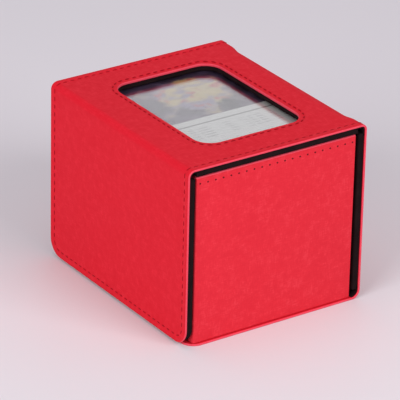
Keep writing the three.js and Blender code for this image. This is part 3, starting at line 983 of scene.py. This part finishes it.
def end_cover(node):
    """The red leather over an end wall of the tray, with soft outer edges."""
    low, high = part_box(node)
    face = low.y if low.y < 0 else high.y
    obj = soft_copy(node, node + "_cover")

    def outside(e):
        sides = (on_plane(e, 0, low.x), on_plane(e, 0, high.x), on_plane(e, 1, face),
                 on_plane(e, 2, high.z))
        return sum(sides) >= 2

    edit(obj)
    pick(obj, "VERT", lambda v: abs(v.co.z - low.z) < NEAR)
    bpy.ops.transform.translate(value=(0, 0, END_FOOT - low.z))
    pick(obj, "EDGE", outside)
    bpy.ops.mesh.bevel(offset=END_EDGE_R, segments=5, affect="EDGES")
    pick(obj, "EDGE", lambda e: on_plane(e, 1, face) and on_plane(e, 2, END_FOOT))
    bpy.ops.mesh.bevel(offset=END_FOOT_R, segments=3, affect="EDGES")
    leave_edit()
    settle(obj, node + "_cover")
    smooth(obj, 40)
    # its rounded top edge gets the painted rim highlight
    mark_rims(obj, lambda f: abs(f.normal.y) < 0.95 and f.normal.z > 0.3)
    finish_piece(obj, END_LEATHER, "tray", [node])


def soft_lining(node, tuck=(0, 0)):
    """A lining of the tray with soft edges, tucked behind its neighbours in x and in y."""
    obj = soft_copy(node, node + "_cover")
    low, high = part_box(node)
    size = high - low
    edit(obj)
    bpy.ops.mesh.select_all(action="SELECT")
    bpy.ops.transform.resize(value=(1 + 2 * tuck[0] / size.x, 1 + 2 * tuck[1] / size.y, 1),
                             center_override=(low + high) / 2)
    leave_edit()
    modify(obj, "BEVEL", width=TRAY_LINING_EDGE_R, segments=3, limit_method="ANGLE",
           angle_limit=math.radians(40), use_clamp_overlap=True)
    finish_lining(obj, node + "_cover", "tray", [node])


def turned_in_lining(name, side):
    """The lining turned in over one end of the tray's back board, beside the end wall."""
    board_low, board_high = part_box("tray_back_board")
    end_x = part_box("near_end_leather")[1].x
    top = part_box("tray_back_lining")[1].z
    inner, outer = sorted(side * (board_high.y + face) for face in STRIP_FACES)
    obj = slab((end_x + GLUE, inner, board_low.z + STRIP_GAP),
               (board_high.x, outer, top - STRIP_GAP))
    modify(obj, "BEVEL", width=STRIP_EDGE_R, segments=2, limit_method="ANGLE")
    outward(obj)
    finish_lining(obj, name, "tray")


wrap()
stitching()
linings()
turned_in_lining("near_turned_in_lining", -1)
turned_in_lining("far_turned_in_lining", 1)
for node in ("near_end_leather", "far_end_leather"):
    end_cover(node)
for node in ("tray_front_lining", "tray_back_lining"):
    soft_lining(node)
for node in ("near_end_lining", "far_end_lining"):
    soft_lining(node, tuck=(TRAY_TUCK, 0))
soft_lining("tray_floor_lining", tuck=(TRAY_TUCK, FLOOR_TUCK))

CAD_FINISHES = {"board": GREYBOARD, "magnet": MAGNET, "pane": CLEAR_SHEET, "card": PRINTED_CARD,
                "leather": LEATHER_RED}
for node, obj in frame["nodes"].items():
    finish = next((CAD_FINISHES[word] for word in CAD_FINISHES if word in node.split("_")),
                  MICROFIBRE)
    for material_slot in obj.material_slots:
        material_slot.material = finish


# ---- camera --------------------------------------------------------------------------------

VIEW_ANGLES = (-34.8, 27.0, 1.355)    # azimuth, elevation and roll, in degrees
VIEW_FOOT = Vector((-0.4, -0.2, 0)) * MM
VIEW_DISTANCE = 1.466
AIM_UP, AIM_LEFT = 0.03175, 0.00119
LENS = 314.35                         # focal length, in millimetres


def add_camera():
    """A long lens, high in front of the near end, aimed a little above the box's foot."""
    azimuth, elevation, roll = (math.radians(v) for v in VIEW_ANGLES)
    away = Vector((math.sin(azimuth) * math.cos(elevation),
                   -math.cos(azimuth) * math.cos(elevation), math.sin(elevation)))
    level = Vector((math.cos(azimuth), math.sin(azimuth), 0))
    upright = away.cross(level)
    right = math.cos(roll) * level + math.sin(roll) * upright
    up = math.cos(roll) * upright - math.sin(roll) * level
    place = VIEW_FOOT + away * VIEW_DISTANCE
    aim = VIEW_FOOT + up * AIM_UP - right * AIM_LEFT
    back = (place - aim).normalized()
    right = up.cross(back).normalized()
    up = back.cross(right)
    data = bpy.data.cameras.new("camera")
    data.lens = LENS
    data.sensor_width = 36
    data.clip_end = 20
    camera = bpy.data.objects.new("camera", data)
    bpy.context.scene.collection.objects.link(camera)
    camera.matrix_world = Matrix((
        (right.x, up.x, back.x, place.x),
        (right.y, up.y, back.y, place.y),
        (right.z, up.z, back.z, place.z),
        (0, 0, 0, 1)))
    bpy.context.scene.camera = camera


add_camera()


# ---- studio --------------------------------------------------------------------------------

# Each light: its name, place, target, width and height, and power in watts.
LIGHTS = (
    ("front softbox", (0.35, -1.4, 0.9), (0, 0, 0.04), (0.9, 0.9), 14.5),
    ("overhead softbox", (-0.1, 0.1, 1.5), (0, 0, 0), (1.0, 1.0), 2.8),
    ("left softbox", (-1.5, -0.5, 0.8), (0, 0, 0.04), (1.0, 1.0), 17),
    ("window panel", (1.0, 1.46, 0.98), (0, 0, 0.075), (0.42, 0.42), 0.62),
)
ROOM_COLOUR = (0.96, 0.95, 1.0, 1)
ROOM_STRENGTH = 0.38
FLOOR_SIZE = 8


def add_light(name, place, target, size, power):
    data = bpy.data.lights.new(name, "AREA")
    data.shape = "RECTANGLE"
    data.size, data.size_y = size
    data.energy = power
    light = bpy.data.objects.new(name, data)
    bpy.context.scene.collection.objects.link(light)
    light.location = place
    light.rotation_euler = (Vector(target) - Vector(place)).to_track_quat("-Z", "Y").to_euler()


def add_floor():
    bpy.ops.mesh.primitive_plane_add(size=FLOOR_SIZE, location=(0, 0, 0))
    floor = bpy.context.active_object
    floor.name = "floor"
    n = Nodes("pale floor")
    tint = n.noise(1.2, 1, 0.5)
    floor.data.materials.append(n.done(
        Base_Color=n.mix(tint, (0.76, 0.71, 0.76, 1), (0.81, 0.77, 0.81, 1)), Roughness=0.7))


def add_studio():
    world = bpy.data.worlds.new("studio")
    world.use_nodes = True
    background = world.node_tree.nodes["Background"]
    background.inputs["Color"].default_value = ROOM_COLOUR
    background.inputs["Strength"].default_value = ROOM_STRENGTH
    bpy.context.scene.world = world
    for light in LIGHTS:
        add_light(*light)
    bpy.context.scene.view_settings.view_transform = "Standard"


add_floor()
add_studio()
